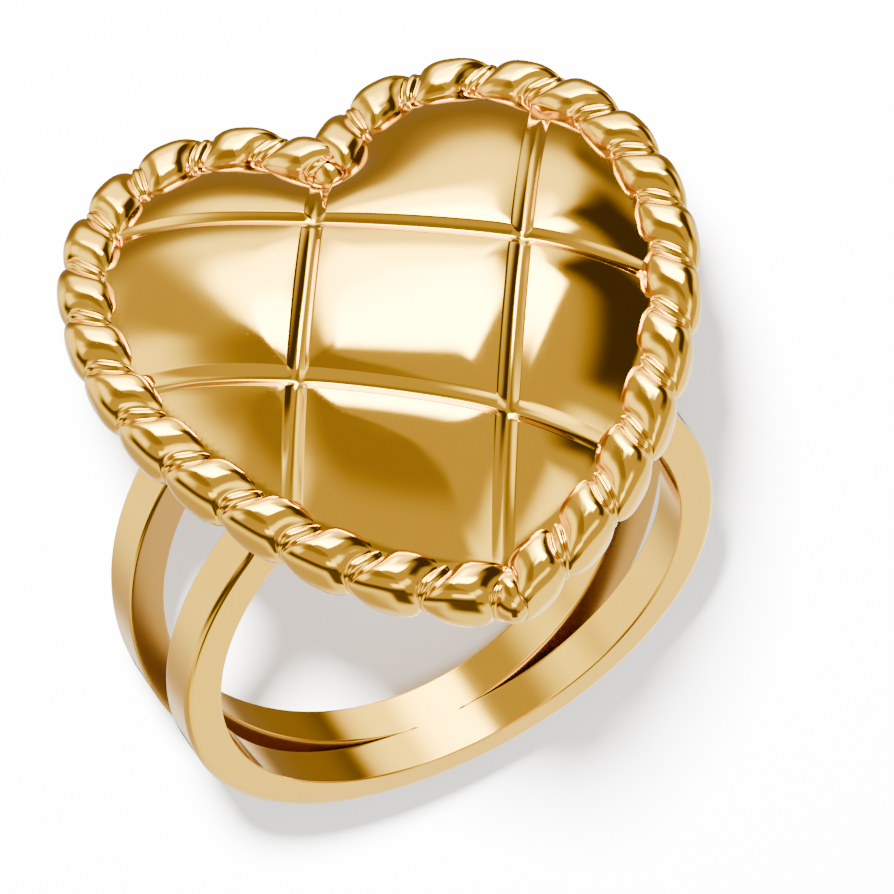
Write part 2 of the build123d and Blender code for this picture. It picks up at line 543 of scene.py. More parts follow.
    def _skin(self, kept: np.ndarray, columns: int, rows: int) -> list[tuple[int, ...]]:
        """Faces of the top, the back and the wall between them, over the kept grid points.

        Args:
            kept: whether each grid point belongs to the heart.
            columns: grid points a row.
            rows: grid rows.

        Returns:
            The faces.
        """
        under = columns * rows
        faces: list[tuple[int, ...]] = []
        # Edges that have met one face so far; at the end, those of the rim
        edges: dict[tuple[int, int], None] = {}
        for row in range(rows - 1):
            for column in range(columns - 1):
                a = row * columns + column
                corners = (a, a + 1, a + 1 + columns, a + columns)
                if not all(kept[k] for k in corners):
                    continue
                faces.append(corners)
                faces.append(tuple(under + k for k in reversed(corners)))
                for k in range(4):
                    edge = (corners[k], corners[(k + 1) % 4])
                    if edge[::-1] in edges:
                        del edges[edge[::-1]]
                    else:
                        edges[edge] = None
        faces.extend((b, a, under + a, under + b) for a, b in edges)
        return faces


@dataclass
class RopeBorder(RingPiece):
    """The fat beaded twist round the heart, swept along each half of the outline."""

    radius: float = 1.0
    # How much taller the rope's underside is than its top
    drop: float = 1.3
    beads: int = 14
    # The lay of the twist: how far a gap leans, as a share of a bead
    slant_left: float = 0.19
    slant_right: float = -0.19
    # Half a gap's width as a share of a bead: its gain on top, and its least, at the sides
    gap_half: float = 0.155
    gap_least: float = 0.035
    gap_power: float = 1.4
    lip_steepness: float = 3.0
    # A bead's fall from its middle to its lip, and the flatness of its top
    fat_power: float = 3.0
    fat_fall: float = 0.2
    flat_power: float = 2.9
    # The ridge along each gap, as a share of the gap's depth
    ridge: float = 0.7
    # Half sizes of the solder beads, across, along and up
    cleft_plug: tuple[float, float, float] = (0.72, 0.95, 0.7)
    tip_plug: tuple[float, float, float] = (0.7, 1.0, 0.82)
    # The grid: rows a bead, the share of them in its gaps, points round and along the line
    rows_per_bead: int = 40
    row_gap_share: float = 0.3
    turns: int = 56
    path_count: int = 240
    plug_steps: int = 32
    merge_mm: float = 0.002

    def _curve(self, side: Side, rest: RestFrame) -> bpy.types.Object:
        """The centre line of one half, as a curve in the shared frame.

        Args:
            side: which half.
            rest: where the ring lies.

        Returns:
            The curve object.
        """
        plan = self.plan.half_path(side, self.path_count)
        heart = np.column_stack([plan, self.plan.rim_z(plan[:, 1])])
        points = rest.points(self.plan.to_ring(heart))
        data = bpy.data.curves.new(f"rope_line_{side.name.lower()}", "CURVE")
        data.dimensions = "3D"
        line = data.splines.new("POLY")
        line.points.add(len(points) - 1)
        line.points.foreach_set("co", np.column_stack([points, np.ones(len(points))]).ravel())
        thing = bpy.data.objects.new(data.name, data)
        bpy.context.scene.collection.objects.link(thing)
        return thing

    def _sizes(self) -> dict[str, float]:
        """The sizes that both halves share.

        Returns:
            The values by the names of the tree's inputs.
        """
        return {
            "Radius": self.radius * MM, "Waist Share": self.plan.waist / self.radius,
            "Drop": self.drop, "Beads": float(self.beads), "Gap Half": self.gap_half,
            "Gap Least": self.gap_least, "Gap Power": self.gap_power,
            "Lip Steepness": self.lip_steepness, "Row Gap Share": self.row_gap_share,
            "Fat Power": self.fat_power, "Fat Fall": self.fat_fall,
            "Flat Power": self.flat_power, "Ridge": self.ridge,
        }

    @staticmethod
    def _place_steps() -> tuple[Step, ...]:
        """Where a point of the flat grid comes to lie along the line and round it.

        Rows bunch up in the gaps between the beads, and the gaps lean like the lay of a twist.

        Returns:
            The steps, which end in Factor, the share of the line, and in Cosine and Sine.
        """
        return (
            ("Share", "ADD", "X", 0.5),
            ("Row", "MULTIPLY", "Share", "Beads"),
            ("Round", "ADD", "Y", 0.5),
            ("Turn", "MULTIPLY", "Round", math.tau),
            ("Cosine", "COSINE", "Turn"),
            ("Sine", "SINE", "Turn"),
            # Which bead it is on, and how far from the bead's middle
            ("Whole", "FLOOR", "Row"),
            ("Last", "SUBTRACT", "Beads", 1.0),
            ("Bead", "MINIMUM", "Whole", "Last"),
            ("Part", "SUBTRACT", "Row", "Bead"),
            ("Local", "SUBTRACT", "Part", 0.5),
            ("Beside", "ABSOLUTE", "Local"),
            ("Away", "MULTIPLY", "Beside", 2.0),
            # The gap is widest on the top and on the underside of the rope
            ("Height", "ABSOLUTE", "Sine"),
            ("Opening", "POWER", "Height", "Gap Power"),
            ("Widening", "MULTIPLY", "Gap Half", "Opening"),
            ("Gap", "ADD", "Gap Least", "Widening"),
            # Most rows spread over the bead up to its lip, and the rest crowd into the gap
            ("Gap Width", "MULTIPLY", "Gap", 2.0),
            ("Lip", "SUBTRACT", 1.0, "Gap Width"),
            ("Row Lip", "SUBTRACT", 1.0, "Row Gap Share"),
            ("To Lip", "DIVIDE", "Away", "Row Lip"),
            ("On Bead", "MINIMUM", "To Lip", 1.0),
            ("Past Lip", "SUBTRACT", "Away", "Row Lip"),
            ("Gap Share", "DIVIDE", "Past Lip", "Row Gap Share"),
            ("In Gap", "MAXIMUM", "Gap Share", 0.0),
            ("Bead Reach", "MULTIPLY", "On Bead", "Lip"),
            ("Gap Room", "SUBTRACT", 1.0, "Lip"),
            ("Gap Reach", "MULTIPLY", "In Gap", "Gap Room"),
            ("Reach", "ADD", "Bead Reach", "Gap Reach"),
            ("Half Reach", "MULTIPLY", "Reach", 0.5),
            ("Direction", "SIGN", "Local"),
            ("Shift", "MULTIPLY", "Direction", "Half Reach"),
            # Its share of the line, leaned by the twist and kept on the line
            ("Middle", "ADD", "Bead", 0.5),
            ("Centre", "ADD", "Middle", "Shift"),
            ("Twist", "MULTIPLY", "Slant", "Cosine"),
            ("Slanted", "SUBTRACT", "Centre", "Twist"),
            ("Along", "DIVIDE", "Slanted", "Beads"),
            ("From Start", "MAXIMUM", "Along", 0.0),
            ("Factor", "MINIMUM", "From Start", 1.0),
        )

    @staticmethod
    def _swell_steps() -> tuple[Step, ...]:
        """How far a point stands off the line.

        Each bead is fat in its middle, and each gap is a valley with a low ridge along it.

        Returns:
            The steps, which end in Lean, across the line, and in Rise, above it.
        """
        return (
            ("Fall", "POWER", "On Bead", "Fat Power"),
            ("Fallen", "MULTIPLY", "Fat Fall", "Fall"),
            ("Fat", "SUBTRACT", 1.0, "Fallen"),
            # The valley, less deep where the gap is narrow
            ("Lip Radius", "SUBTRACT", 1.0, "Fat Fall"),
            ("Full Depth", "SUBTRACT", "Lip Radius", "Waist Share"),
            ("Openness", "DIVIDE", "Gap", "Gap Half"),
            ("Open", "MINIMUM", "Openness", 1.0),
            ("Depth", "MULTIPLY", "Full Depth", "Open"),
            ("Slope", "MULTIPLY", "In Gap", "Lip Steepness"),
            ("Step", "MINIMUM", "Slope", 1.0),
            # The ridge, which rises towards the gap's middle
            ("Double", "MULTIPLY", "In Gap", 2.0),
            ("Past Half", "SUBTRACT", "Double", 1.0),
            ("Near", "MAXIMUM", "Past Half", 0.0),
            ("Far", "SUBTRACT", 1.0, "Near"),
            ("Far Squared", "POWER", "Far", 2.0),
            ("Crown", "SUBTRACT", 1.0, "Far Squared"),
            ("Raised", "MULTIPLY", "Ridge", "Crown"),
            ("Hollow", "SUBTRACT", "Step", "Raised"),
            ("Sink", "MULTIPLY", "Depth", "Hollow"),
            # The upper half is a superellipse, because the beads' tops are flat
            ("Width", "ABSOLUTE", "Cosine"),
            ("Width Power", "POWER", "Width", "Flat Power"),
            ("Height Power", "POWER", "Height", "Flat Power"),
            ("Powers", "ADD", "Width Power", "Height Power"),
            ("Root", "DIVIDE", -1.0, "Flat Power"),
            ("Corner", "POWER", "Powers", "Root"),
            ("Corner Gain", "SUBTRACT", "Corner", 1.0),
            ("Upper", "GREATER_THAN", "Sine", 0.0),
            ("Upper Gain", "MULTIPLY", "Upper", "Corner Gain"),
            ("Flat", "ADD", 1.0, "Upper Gain"),
            ("Flat Radius", "MULTIPLY", "Radius", "Flat"),
            ("Profile", "SUBTRACT", "Fat", "Sink"),
            ("Reach Out", "MULTIPLY", "Flat Radius", "Profile"),
            ("Lean", "MULTIPLY", "Reach Out", "Cosine"),
            # The lower half is taller, so that the rope reaches the heart's back
            ("Drop Gain", "SUBTRACT", "Drop", 1.0),
            ("Lower", "LESS_THAN", "Sine", 0.0),
            ("Lower Gain", "MULTIPLY", "Lower", "Drop Gain"),
            ("Tall", "ADD", 1.0, "Lower Gain"),
            ("Level Rise", "MULTIPLY", "Reach Out", "Sine"),
            ("Rise", "MULTIPLY", "Level Rise", "Tall"),
        )

    def _tree(self) -> bpy.types.NodeTree:
        """The node tree that rolls a flat grid up into a beaded tube along a centre line.

        Returns:
            The tree, with named inputs for its sizes.
        """
        tree = bpy.data.node_groups.new("beaded_rope", "GeometryNodeTree")
        tree.interface.new_socket("Geometry", in_out="OUTPUT", socket_type="NodeSocketGeometry")
        kinds = {"Centre Line": "Geometry", "Rows": "Int", "Turns": "Int", "Slant": "Float",
                 "Side": "Float", "Up": "Vector", "Metal": "Material"}
        for name, kind in (kinds | dict.fromkeys(self._sizes(), "Float")).items():
            tree.interface.new_socket(name, in_out="INPUT", socket_type=f"NodeSocket{kind}")
        given = add_node(tree, "NodeGroupInput").outputs

        grid = add_node(tree, "GeometryNodeMeshGrid", {
            "Size X": 1.0, "Size Y": 1.0, "Vertices X": given["Rows"],
            "Vertices Y": given["Turns"]})
        place = add_node(tree, "ShaderNodeSeparateXYZ", {
            0: add_node(tree, "GeometryNodeInputPosition").outputs[0]}).outputs
        known = {socket.name: socket for socket in (*given, *place)}
        for name, operation, *terms in self._place_steps() + self._swell_steps():
            values = {k: known[term] if isinstance(term, str) else term
                      for k, term in enumerate(terms)}
            known[name] = add_node(tree, "ShaderNodeMath", values, operation=operation).outputs[0]

        line = add_node(tree, "GeometryNodeSampleCurve", {
            "Curves": given["Centre Line"], "Factor": known["Factor"]},
            mode="FACTOR", use_all_curves=True).outputs
        cross = add_node(tree, "ShaderNodeVectorMath", {
            0: line["Tangent"], 1: given["Up"]}, operation="CROSS_PRODUCT")
        across = add_node(tree, "ShaderNodeVectorMath", {0: cross.outputs[0]},
                          operation="NORMALIZE")
        outward = add_node(tree, "ShaderNodeVectorMath", {
            0: across.outputs[0], "Scale": given["Side"]}, operation="SCALE")
        spot = line["Position"]
        for direction, length in ((outward.outputs[0], known["Lean"]),
                                  (given["Up"], known["Rise"])):
            offset = add_node(tree, "ShaderNodeVectorMath", {0: direction, "Scale": length},
                              operation="SCALE")
            spot = add_node(tree, "ShaderNodeVectorMath", {0: spot, 1: offset.outputs[0]},
                            operation="ADD").outputs[0]
        moved = add_node(tree, "GeometryNodeSetPosition", {
            "Geometry": grid.outputs["Mesh"], "Position": spot})
        closed = add_node(tree, "GeometryNodeMergeByDistance", {
            "Geometry": moved.outputs[0], "Distance": self.merge_mm * MM})
        real = add_node(tree, "GeometryNodeRealizeInstances", {0: closed.outputs[0]})
        dressed = add_node(tree, "GeometryNodeSetMaterial", {
            "Geometry": real.outputs[0], "Material": given["Metal"]})
        add_node(tree, "NodeGroupOutput", {0: dressed.outputs[0]})
        return tree

    def _plug(self, shape: bmesh.types.BMesh, rest: RestFrame, end: int) -> None:
        """Adds the solder bead that closes the rope where its two halves meet.

        Args:
            shape: the rope so far.
            rest: where the ring lies.
            end: 0 at the cleft, -1 at the tip.
        """
        radii = self.tip_plug if end else self.cleft_plug
        spot = self.plan.half_path(Side.RIGHT, self.path_count)[end]
        place = np.array([[spot[0], spot[1], float(self.plan.rim_z(spot[1]))]])
        centre = Vector(rest.points(self.plan.to_ring(place))[0])
        sizes = Matrix.Diagonal(Vector([radius * MM for radius in radii])).to_4x4()
        turn = Matrix.Rotation(math.radians(self.plan.turn_degrees), 4, "Z")
        matrix = Matrix.Translation(centre) @ rest.turn.to_4x4() @ turn @ sizes
        bmesh.ops.create_uvsphere(shape, u_segments=2 * self.plug_steps, v_segments=self.plug_steps,
                                  radius=1.0, matrix=matrix)

    def build(self, rest: RestFrame, metal: bpy.types.Material) -> bpy.types.Object:
        """Builds both halves and joins them with the small solder beads at cleft and tip.

        Args:
            rest: where the ring lies.
            metal: its finish, which the tree sets too.

        Returns:
            The dressed piece.
        """
        tree = self._tree()
        sockets = {s.name: s.identifier for s in tree.interface.items_tree if s.in_out == "INPUT"}
        up = rest.direction((0, 0, 1))
        joined = bmesh.new()
        for side, slant in ((Side.RIGHT, self.slant_right), (Side.LEFT, self.slant_left)):
            line = self._curve(side, rest)
            values = self._sizes() | {
                "Rows": self.beads * self.rows_per_bead + 1, "Turns": self.turns + 1,
                "Slant": slant, "Side": float(-side.value), "Up": tuple(up), "Metal": metal}
            modifier = line.modifiers.new("beads", "NODES")
            modifier.node_group = tree
            for name, value in values.items():
                modifier[sockets[name]] = value
            graph = bpy.context.evaluated_depsgraph_get()
            part = bpy.data.meshes.new_from_object(line.evaluated_get(graph))
            line.modifiers.remove(modifier)
            joined.from_mesh(part)
            bpy.data.objects.remove(line)
        bmesh.ops.holes_fill(joined, edges=joined.edges, sides=0)
        bmesh.ops.recalc_face_normals(joined, faces=joined.faces)
        for end in (0, -1):
            self._plug(joined, rest, end)
        return self.dress(make_piece("rope_border", joined), metal)


@dataclass
class SplitBand(RingPiece):
    """The two finger hoops: one band at the palm that splits and flares up to the heart."""

    # The finger hole, and the metal round it
    bore_d: float = 17.3
    thick: float = 1.3
    arm_width: float = 1.68
    # Half widths along the finger: at the palm, two handles of the curve, at the heart
    palm_half: float = 1.4
    palm_handle: float = 2.85
    head_handle: float = 3.33
    head_half: float = 3.53
    # Where the shoulder leaves the hoop, and how far out it meets the heart
    shoulder_angle: float = 42.0
    shoulder_half: float = 7.4
    # How far it runs on into the heart
    sink: float = 0.2
    # Radii of the arms' corners, and the most that a corner may take of the arm
    edge_round_head: float = 0.14
    edge_round_palm: float = 0.5
    round_power: float = 0.6
    inner_round: float = 0.07
    split_round: float = 0.1
    round_limit: float = 0.42
    # A wall between the hoops faces along the finger by at least this cosine
    wall_facing: float = 0.8
    stations: int = 300
    corner_steps: int = 6
    # Support points this far beside each corner keep the flats flat
    flat_edge: float = 0.05
    merge_mm: float = 0.0015

    @property
    def radius_in(self) -> float:
        """Radius of the finger hole."""
        return self.bore_d / 2

    @property
    def radius_out(self) -> float:
        """Outer radius of the hoops below the shoulders."""
        return self.bore_d / 2 + self.thick

    def _lift(self, height: np.ndarray) -> np.ndarray:
        """Share of the way from the palm to the top of the hoops."""
        return np.clip((height + self.radius_out) / (2 * self.radius_out), 0, 1)

    def flare(self, height: np.ndarray) -> np.ndarray:
        """Half width of the band along the finger at a height, on one cubic curve.

        Args:
            height: heights in the ring frame.

        Returns:
            The half widths.
        """
        share = self._lift(height)
        rest = 1 - share
        return (rest**3 * self.palm_half + 3 * rest**2 * share * self.palm_handle
                + 3 * rest * share**2 * self.head_handle + share**3 * self.head_half)

    def _shoulder(self) -> tuple[np.ndarray, float, float]:
        """The arc of the shoulder, tangent to the hoop and ending at the heart.

        Returns:
            The arc's centre, its radius and the height where the heart covers it.
        """
        turn = math.radians(self.shoulder_angle)
        start = self.radius_out * np.array([math.cos(turn), math.sin(turn)])
        end = np.array([self.shoulder_half, self.plan.rim_height])
        chord = end - start
        outward = start / self.radius_out
        radius = chord @ chord / (2 * chord @ outward)
        top = self.plan.rim_height - self.plan.back + self.sink
        return start + radius * outward, abs(radius), top

    def _contour(self) -> tuple[np.ndarray, np.ndarray]:
        """Matched points of the outer and inner contours, once round from the palm.

        Returns:
            Outer points and inner points as X and Z, one a row.
        """
        centre, radius, top = self._shoulder()
        angles = np.linspace(-math.pi / 2, math.pi / 2, self.stations // 2 + 1)
        outer = []
        for angle in angles:
            ray = np.array([math.cos(angle), math.sin(angle)])
            reach = self.radius_out
            # Past the shoulder's start the ray runs on to its arc, but not past the heart's back
            if angle > math.radians(self.shoulder_angle):
                along = ray @ centre
                spare = along**2 - centre @ centre + radius**2
                hit = along - math.sqrt(spare) if spare > 0 else math.inf
                reach = min(hit, top / math.sin(angle))
                reach = max(reach, self.radius_out)
            outer.append(ray * reach)
        right = np.array(outer)
        left = right[-2:0:-1] * np.array([-1, 1])
        inner_right = np.column_stack([np.cos(angles), np.sin(angles)]) * self.radius_in
        inner_left = inner_right[-2:0:-1] * np.array([-1, 1])
        return np.vstack([right, left]), np.vstack([inner_right, inner_left])

    def _section(self, height: float, rounds: Sequence[float]) -> np.ndarray:
        """Points of one rounded section, as distance from the hole and from the free side.

        Args:
            height: how thick the arm is here.
            rounds: radii at the inner free, outer free, outer split and inner split corners.

        Returns:
            The points, one a row.
        """
        centres = ((1, 1), (-1, 1), (-1, -1), (1, -1))
        points: list[tuple[float, float]] = []
        for k, ((side_a, side_b), size) in enumerate(zip(centres, rounds)):
            size = min(size, self.round_limit * height, self.round_limit * self.arm_width)
            middle_a = size if side_a > 0 else height - size
            middle_b = size if side_b > 0 else self.arm_width - size
            swings = [math.pi + (k + step / self.corner_steps) * math.pi / 2
                      for step in range(self.corner_steps + 1)]
            arc = [(middle_a + size * math.cos(swing), middle_b + size * math.sin(swing))
                   for swing in swings]
            before = (math.sin(swings[0]), -math.cos(swings[0]))
            after = (-math.sin(swings[-1]), math.cos(swings[-1]))
            arc.insert(0, tuple(p + self.flat_edge * d for p, d in zip(arc[0], before)))
            arc.append(tuple(p + self.flat_edge * d for p, d in zip(arc[-1], after)))
            points.extend(arc)
        return np.array(points)

    def _hoop(self, arm: Arm, outer: np.ndarray, inner: np.ndarray) -> np.ndarray:
        """Points of one hoop, section by section from the palm.

        Args:
            arm: which hoop.
            outer: points of the outer contour.
            inner: the matching points of the inner contour.

        Returns:
            The points in the ring frame, one a row.
        """
        points: list[np.ndarray] = []
        for crest, bore in zip(outer, inner):
            ray = crest - bore
            height = float(np.linalg.norm(ray))
            gap_out, gap_in = (float(self.flare(spot[1])) - self.arm_width
                               for spot in (crest, bore))
            share = self._lift(bore[1])**self.round_power
            free = self.edge_round_palm + (self.edge_round_head - self.edge_round_palm) * share
            rounds = (self.inner_round, free, np.clip(gap_out, 0, self.split_round),
                      np.clip(gap_in, 0, self.split_round))
            section = self._section(height, rounds)
            plan = bore + section[:, :1] * ray / height
            along = arm.value * np.maximum(self.flare(plan[:, 1]) - section[:, 1], 0)
            points.append(np.column_stack([plan[:, 0], along, plan[:, 1]]))
        return np.vstack(points)

    def build(self, rest: RestFrame, metal: bpy.types.Material) -> bpy.types.Object:
        """Builds both hoops as closed skins that meet in the middle where they are one band.

        Args:
            rest: where the ring lies.
            metal: its finish.

        Returns:
            The dressed piece.
        """
        outer, inner = self._contour()
        count = len(outer)
        # Each of a section's four corners has its arc's points and two support points
        per = 4 * (self.corner_steps + 3)
        faces = [tuple((k + row) % count * per + (j + place) % per
                       for row, place in ((0, 0), (0, 1), (1, 1), (1, 0)))
                 for k in range(count) for j in range(per)]
        shells = [clean_shell(rest.points(self._hoop(arm, outer, inner)), faces, self.merge_mm)
                  for arm in Arm]
        piece = join_shells("split_band", shells)
        # The walls between the hoops get a painted shade and a duller finish
        self._mark_dull_shaded_walls(piece.data, rest)
        return self.dress(piece, metal)

    def _mark_dull_shaded_walls(self, mesh: bpy.types.Mesh, rest: RestFrame) -> None:
        """Marks the walls between the hoops, which get a painted shade in their colour and a duller
        finish.

        Args:
            mesh: the band.
            rest: where the ring lies.
        """
        to_ring = rest.turn.transposed()
        marks = []
        for face in mesh.polygons:
            spot = to_ring @ (face.center - rest.origin) / MM
            facing = abs((to_ring @ face.normal).y)
            middle = float(self.flare(np.array(spot.z))) - self.arm_width / 2
            marks.append(1.0 if facing > self.wall_facing and abs(spot.y) < middle else 0.0)
        layer = mesh.attributes.new(DULL_SHADED_WALL, "FLOAT", "FACE")
        layer.data.foreach_set("value", marks)


@dataclass(frozen=True)
class PolishedGold:
    """Yellow gold, cast and mirror polished: a warm mirror with the faint waves of the wheel."""

    name: str = "polished_yellow_gold"
    tone: str = "#FFCB30"
    deep_tone: str = "#FFC428"
    roughness: float = 0.07
    # Between the hoops the colour is darkened to a browner painted shade, and the metal is duller
    painted_shade_tone: str = "#B98A3C"
    raw_roughness: float = 0.3
    # Waves left by the wheel
    wave_mm: float = 2.4
    wave_height_mm: float = 0.006
    wave_detail: float = 1.0
    # Patches of haze, and how much they change the tone and the roughness
    haze_mm: float = 0.8
    haze_detail: float = 3.0
    haze_spread: float = 0.3

    def material(self) -> bpy.types.Material:
        """Builds the material, with its patterns on Object coordinates.

        Returns:
            The material.
        """
        # Cast gold from the buffing wheel: a clear warm mirror, a touch wavy and hazy in patches
        metal = bpy.data.materials.new(self.name)
        metal.use_nodes = True
        tree = metal.node_tree
        shader = tree.nodes["Principled BSDF"]
        shader.inputs["Metallic"].default_value = 1.0
        place = add_node(tree, "ShaderNodeTexCoord").outputs["Object"]
        haze = add_node(tree, "ShaderNodeTexNoise", {
            "Vector": place, "Scale": 1 / (self.haze_mm * MM), "Detail": self.haze_detail})
        tone = add_node(tree, "ShaderNodeMix", {
            "Factor": haze.outputs["Fac"], MIX_A: hex_to_linear(self.tone),
            MIX_B: hex_to_linear(self.deep_tone)}, data_type="RGBA")
        rough = add_node(tree, "ShaderNodeMapRange", {
            "Value": haze.outputs["Fac"], "To Min": self.roughness * (1 - self.haze_spread),
            "To Max": self.roughness * (1 + self.haze_spread)})
        # Painted shade: the walls between the hoops get a darker brown tone, and a duller finish
        dull_and_shade_mask = add_node(tree, "ShaderNodeAttribute", attribute_name=DULL_SHADED_WALL).outputs["Fac"]
        shaded_tone = add_node(tree, "ShaderNodeMix", {
            "Factor": dull_and_shade_mask, MIX_A: tone.outputs[MIX_OUT],
            MIX_B: hex_to_linear(self.painted_shade_tone)}, data_type="RGBA")
        finish = add_node(tree, "ShaderNodeMix", {
            "Factor": dull_and_shade_mask, "A": rough.outputs[0], "B": self.raw_roughness})
        wave = add_node(tree, "ShaderNodeTexNoise", {
            "Vector": place, "Scale": 1 / (self.wave_mm * MM), "Detail": self.wave_detail})
        bump = add_node(tree, "ShaderNodeBump", {
            "Height": wave.outputs["Fac"], "Strength": 1.0, "Distance": self.wave_height_mm * MM})
        for name, value in (("Base Color", shaded_tone.outputs[MIX_OUT]),
                            ("Roughness", finish.outputs[0]), ("Normal", bump.outputs[0])):
            tree.links.new(value, shader.inputs[name])
        return metal


@dataclass(frozen=True)
class Panel:
    """One soft panel of the light tent, placed by its direction seen from the ring.

    Angles are in degrees in the ring's frame: azimuth from +Y towards +X, elevation from its
    level plane up to +Z.
    """

    azimuth: float
    elevation: float
    half_azimuth: float
    half_elevation: float
    soft: float
    level: float


TENT_PANELS = (
    # Dark horizon on the left and behind the camera
    Panel(azimuth=-122, elevation=2, half_azimuth=54, half_elevation=10, soft=7, level=0.1),
    Panel(azimuth=-165, elevation=-22, half_azimuth=28, half_elevation=20, soft=8, level=0.12),
    # Pale sheets on the left
    Panel(azimuth=-65, elevation=38, half_azimuth=28, half_elevation=14, soft=12, level=3.0),
    Panel(azimuth=-40, elevation=0, half_azimuth=18, half_elevation=20, soft=10, level=2.3),
    # White window behind the lobes, high on the right
    Panel(azimuth=24, elevation=40, half_azimuth=26, half_elevation=16, soft=12, level=3.6),
    Panel(azimuth=20, elevation=54, half_azimuth=20, half_elevation=10, soft=7, level=14.0),
    Panel(azimuth=38, elevation=65, half_azimuth=30, half_elevation=8, soft=5, level=30.0),
    # Dark room to the right
    Panel(azimuth=84, elevation=36, half_azimuth=31, half_elevation=14, soft=8, level=0.06),
    Panel(azimuth=50, elevation=4, half_azimuth=9, half_elevation=17, soft=6, level=0.12),
    Panel(azimuth=78, elevation=2, half_azimuth=14, half_elevation=12, soft=7, level=2.0),
    # Pale sheets behind the camera
    Panel(azimuth=160, elevation=41, half_azimuth=26, half_elevation=9, soft=8, level=3.4),
    Panel(azimuth=-165, elevation=31, half_azimuth=17, half_elevation=8, soft=6, level=5.0),
    # Brown ceiling and the brown front under the lobes
    Panel(azimuth=-90, elevation=78, half_azimuth=88, half_elevation=14, soft=10, level=0.36),
    Panel(azimuth=22, elevation=-8, half_azimuth=38, half_elevation=22, soft=13, level=0.3),
    Panel(azimuth=20, elevation=-46, half_azimuth=16, half_elevation=9, soft=6, level=0.15),
    # Table round the ring: deeper on the left, paler on the right and in front
    Panel(azimuth=-75, elevation=-50, half_azimuth=50, half_elevation=20, soft=14, level=0.85),
    Panel(azimuth=75, elevation=-60, half_azimuth=40, half_elevation=14, soft=10, level=3.0),
    Panel(azimuth=150, elevation=-42, half_azimuth=34, half_elevation=24, soft=12, level=2.1),
)


